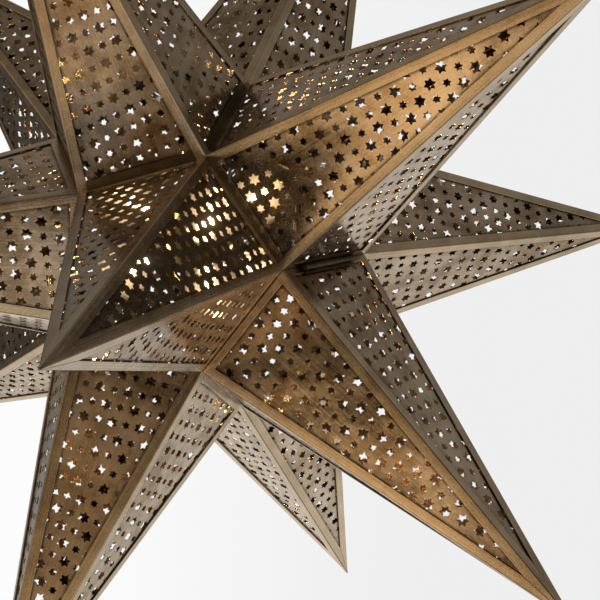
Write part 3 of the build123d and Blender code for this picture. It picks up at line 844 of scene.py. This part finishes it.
# ------------------------------------------------------------------ CAD pieces with their finish
# the hinge finish below is the darker brass copy, painted shade
FINISH = {
    "joining_screws": "hinge", "joining_nuts": "hinge", "hinge_leaf_fixed": "hinge", "hinge_leaf_moving": "hinge",
    "hinge_pin": "hinge", "catch_bush": "hinge", "catch_knob": "turned", "catch_cam": "hinge",
    "hanger_saddle": "turned", "hanger_clamp_block": "turned", "hanger_washer": "steel", "hanger_locknut": "steel",
    "threaded_tube": "steel", "hang_loop": "turned", "cord_bush": "phenolic", "stem_sleeve": "turned",
    "cluster_shell_upper": "turned", "cluster_shell_lower": "turned", "cluster_finial": "turned",
    "lamp_sockets": "phenolic", "bulb_bases": "base_metal", "bulb_glasses": "glass", "bulb_filaments": "filament",
    "socket_leads": "lead",
}
for n, mname in FINISH.items():
    set_mat(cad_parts[n], MAT[mname])

# ------------------------------------------------------------------ lamps
LAMP_TILT, LAMP_AZ = 25.0, (-37.5, 82.5, 202.5)
tilt = math.radians(LAMP_TILT)
for az in LAMP_AZ:
    for s in (1, -1):
        p = math.radians(az)
        d = Vector((math.cos(tilt) * math.cos(p), math.cos(tilt) * math.sin(p), s * math.sin(tilt)))
        ld = bpy.data.lights.new("bulb_light", "POINT")
        ld.energy = 0.045
        ld.color = (1.0, 0.72, 0.42)
        ld.shadow_soft_size = 0.004
        lo = bpy.data.objects.new("bulb_light", ld)
        lo.location = d * 0.0668
        bpy.context.scene.collection.objects.link(lo)

# ------------------------------------------------------------------ studio
def backdrop_ramp(nt, vec):
    """Pale backdrop: near white, with painted shade a little greyer towards one side. Depends on the bearing only."""
    flat = node(nt, "ShaderNodeVectorMath", operation="MULTIPLY")
    flat.inputs[1].default_value = (1.0, 1.0, 0.0)
    nt.links.new(vec, flat.inputs[0])
    nrm = node(nt, "ShaderNodeVectorMath", operation="NORMALIZE")
    nt.links.new(flat.outputs[0], nrm.inputs[0])
    dot = node(nt, "ShaderNodeVectorMath", operation="DOT_PRODUCT")
    dot.inputs[1].default_value = (0.7766, 0.6300, 0.0)
    nt.links.new(nrm.outputs[0], dot.inputs[0])
    mr = node(nt, "ShaderNodeMapRange")
    mr.interpolation_type = "SMOOTHSTEP"
    mr.inputs["From Min"].default_value = -0.26
    mr.inputs["From Max"].default_value = 0.16
    nt.links.new(dot.outputs["Value"], mr.inputs["Value"])
    r = ramp(nt, [(0.0, (0.978, 0.978, 0.978)), (1.0, (0.86, 0.86, 0.865))])
    nt.links.new(mr.outputs["Result"], r.inputs["Fac"])
    return r.outputs["Color"]


def smooth(nt, v, lo, hi):
    mr = node(nt, "ShaderNodeMapRange")
    mr.interpolation_type = "SMOOTHSTEP"
    mr.inputs["From Min"].default_value = lo
    mr.inputs["From Max"].default_value = hi
    nt.links.new(v, mr.inputs["Value"])
    return mr.outputs["Result"]


world = bpy.data.worlds.new("studio")
bpy.context.scene.world = world
world.use_nodes = True
wn = world.node_tree
wn.nodes.clear()
wo = wn.nodes.new("ShaderNodeOutputWorld")
bg = wn.nodes.new("ShaderNodeBackground")
tc = wn.nodes.new("ShaderNodeTexCoord")
sep = wn.nodes.new("ShaderNodeSeparateXYZ")
wn.links.new(tc.outputs["Generated"], sep.inputs[0])


def bearing(az, el):
    a, e = math.radians(az), math.radians(el)
    return (math.cos(e) * math.cos(a), math.cos(e) * math.sin(a), math.sin(e))


def patch(az, el, outer, inner):
    """How far a direction lies within a round patch of the surroundings, 0 to 1."""
    dt = node(wn, "ShaderNodeVectorMath", operation="DOT_PRODUCT")
    dt.inputs[1].default_value = bearing(az, el)
    wn.links.new(tc.outputs["Generated"], dt.inputs[0])
    return smooth(wn, dt.outputs["Value"], math.cos(math.radians(outer)), math.cos(math.radians(inner)))


# soft lights round the object, most of them low: bearing, height, light
LIGHTS = [
    (16, 62, (0.045, 0.045, 0.045)),
    (-174, 44, (0.179, 0.155, 0.129)),
    (49, 40, (0.281, 0.265, 0.248)),
    (134, 33, (0.275, 0.262, 0.245)),
    (-141, 27, (0.469, 0.371, 0.262)),
    (81, 24, (0.102, 0.102, 0.102)),
    (-56, 21, (0.020, 0.014, 0.009)),
    (-109, 12, (0.140, 0.103, 0.060)),
    (61, 1, (0.068, 0.050, 0.029)),
    (146, -4, (0.099, 0.097, 0.095)),
    (94, -12, (0.041, 0.041, 0.041)),
    (179, -18, (0.082, 0.077, 0.072)),
    (126, -27, (0.669, 0.660, 0.650)),
    (-149, -33, (0.309, 0.226, 0.133)),
    (73, -37, (0.817, 0.817, 0.817)),
    (158, -44, (0.820, 0.807, 0.793)),
    (21, -48, (0.278, 0.269, 0.258)),
    (53, -77, (0.207, 0.192, 0.175)),
    # fill for the sides that face away from the camera
    (-32, -62, (0.30, 0.29, 0.27)),
    (114, 10, (0.30, 0.30, 0.29)),
    (9, -7, (0.30, 0.29, 0.27)),
    (-117, -52, (0.30, 0.29, 0.28)),
    (-11, -30, (0.34, 0.32, 0.29)),
    (-129, -10, (0.28, 0.27, 0.25)),
    (-69, 77, (0.15, 0.15, 0.15)),
    (-4, 30, (0.12, 0.12, 0.12)),
    (-36, 48, (0.08, 0.08, 0.08)),
    (41, -21, (0.18, 0.18, 0.17)),
    (-169, -68, (0.14, 0.14, 0.13)),
    (-121, 56, (0.10, 0.10, 0.10)),
]
light = None
for az, el, rgb in LIGHTS:
    part = mixer(wn, (0.0, 0.0, 0.0), rgb, patch(az, el, 34, 2))
    light = part if light is None else mixer(wn, light, part, 1.0, "ADD")
lp = wn.nodes.new("ShaderNodeLightPath")
col = mixer(wn, light, backdrop_ramp(wn, tc.outputs["Generated"]), lp.outputs["Is Camera Ray"])
wn.links.new(col, bg.inputs["Color"])
bg.inputs["Strength"].default_value = 1.0
wn.links.new(bg.outputs[0], wo.inputs["Surface"])



def board(name, centre, look, w, h, radiance, colour):
    """Lit reflector board near the object, seen only in reflections."""
    ld = bpy.data.lights.new(name, "AREA")
    ld.shape = "RECTANGLE"
    ld.size, ld.size_y = w, h
    ld.energy = radiance * 4.0 * w * h
    ld.color = colour
    lo = bpy.data.objects.new(name, ld)
    c = Vector(centre)
    lo.location = c
    lo.rotation_euler = (Vector(look) - c).to_track_quat("-Z", "Y").to_euler()
    lo.visible_camera = False
    bpy.context.scene.collection.objects.link(lo)
    return lo


board("warm_board", (0.29, -1.90, -0.54), (0.30, 0.0, -0.10), 0.56, 0.60, 1.50, (1.0, 0.73, 0.44))
board("warm_board_right", (0.98, -1.85, -0.52), (0.30, 0.0, -0.10), 0.50, 0.60, 0.85, (1.0, 0.73, 0.45))
board("low_board", (0.70, -1.60, -0.90), (0.30, 0.0, -0.10), 0.60, 0.60, 0.17, (1.0, 1.0, 1.0))
board("right_board", (1.35, -1.35, -0.60), (0.30, 0.0, -0.10), 0.60, 0.60, 0.95, (1.0, 1.0, 1.0))
board("left_board", (-0.45, -1.70, -0.60), (0.30, 0.0, -0.10), 0.60, 0.60, 0.56, (1.0, 0.94, 0.86))
board("middle_board", (0.64, -1.45, 0.0), (0.10, -0.20, -0.20), 0.34, 0.42, 0.36, (1.0, 0.74, 0.46))

# a black card in front, on the left, keeps the light out of the valley between the near points
card = bpy.data.meshes.new("black_card")
bm = bmesh.new()
bm.faces.new([bm.verts.new(v) for v in ((-0.10, -0.60, -0.03), (0.185, -0.60, -0.03), (0.185, -0.60, 0.26), (-0.10, -0.60, 0.26))])
bm.to_mesh(card)
bm.free()
card = bpy.data.objects.new("black_card", card)
bpy.context.scene.collection.objects.link(card)
m, nt, b = new_mat("black_card")
b.inputs["Base Color"].default_value = (0.0, 0.0, 0.0, 1.0)
b.inputs["Specular IOR Level"].default_value = 0.0
card.data.materials.append(m)
card.visible_camera = False
card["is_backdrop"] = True

fl = bpy.data.meshes.new("floor")
bm = bmesh.new()
R = 40.0
vs = [bm.verts.new((R * math.cos(2 * math.pi * a / 96), R * math.sin(2 * math.pi * a / 96), -2.20)) for a in range(96)]
bm.faces.new(vs)
bm.to_mesh(fl)
bm.free()
floor = bpy.data.objects.new("floor", fl)
bpy.context.scene.collection.objects.link(floor)
m, nt, b = new_mat("pale_floor")
geo = node(nt, "ShaderNodeTexCoord")
shade_col = backdrop_ramp(nt, geo.outputs["Object"])
nt.links.new(shade_col, b.inputs["Emission Color"])
b.inputs["Emission Strength"].default_value = 1.0
b.inputs["Base Color"].default_value = (0.0, 0.0, 0.0, 1.0)
b.inputs["Specular IOR Level"].default_value = 0.0
b.inputs["Roughness"].default_value = 0.9
floor.data.materials.append(m)
# it is seen, but the light from below is the studio's
floor.visible_glossy = False
floor.visible_diffuse = False
floor.visible_transmission = False
floor.visible_shadow = False
floor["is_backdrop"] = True

sc = bpy.context.scene
sc.view_settings.view_transform = "Standard"
sc.view_settings.look = "None"
sc.view_settings.exposure = 0.0

# the lens spreads the light of the filaments a little
sc.use_nodes = True
cn = sc.node_tree
cn.nodes.clear()
rl = cn.nodes.new("CompositorNodeRLayers")
gl = cn.nodes.new("CompositorNodeGlare")
gl.glare_type = "BLOOM"
gl.quality = "HIGH"
for name, v in (("Threshold", 1.6), ("Smoothness", 0.2), ("Maximum", 60.0), ("Strength", 0.07), ("Size", 0.22)):
    if name in gl.inputs:
        gl.inputs[name].default_value = v
cc = cn.nodes.new("CompositorNodeComposite")
cn.links.new(rl.outputs["Image"], gl.inputs["Image"])
cn.links.new(gl.outputs["Image"], cc.inputs["Image"])

lo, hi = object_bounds()
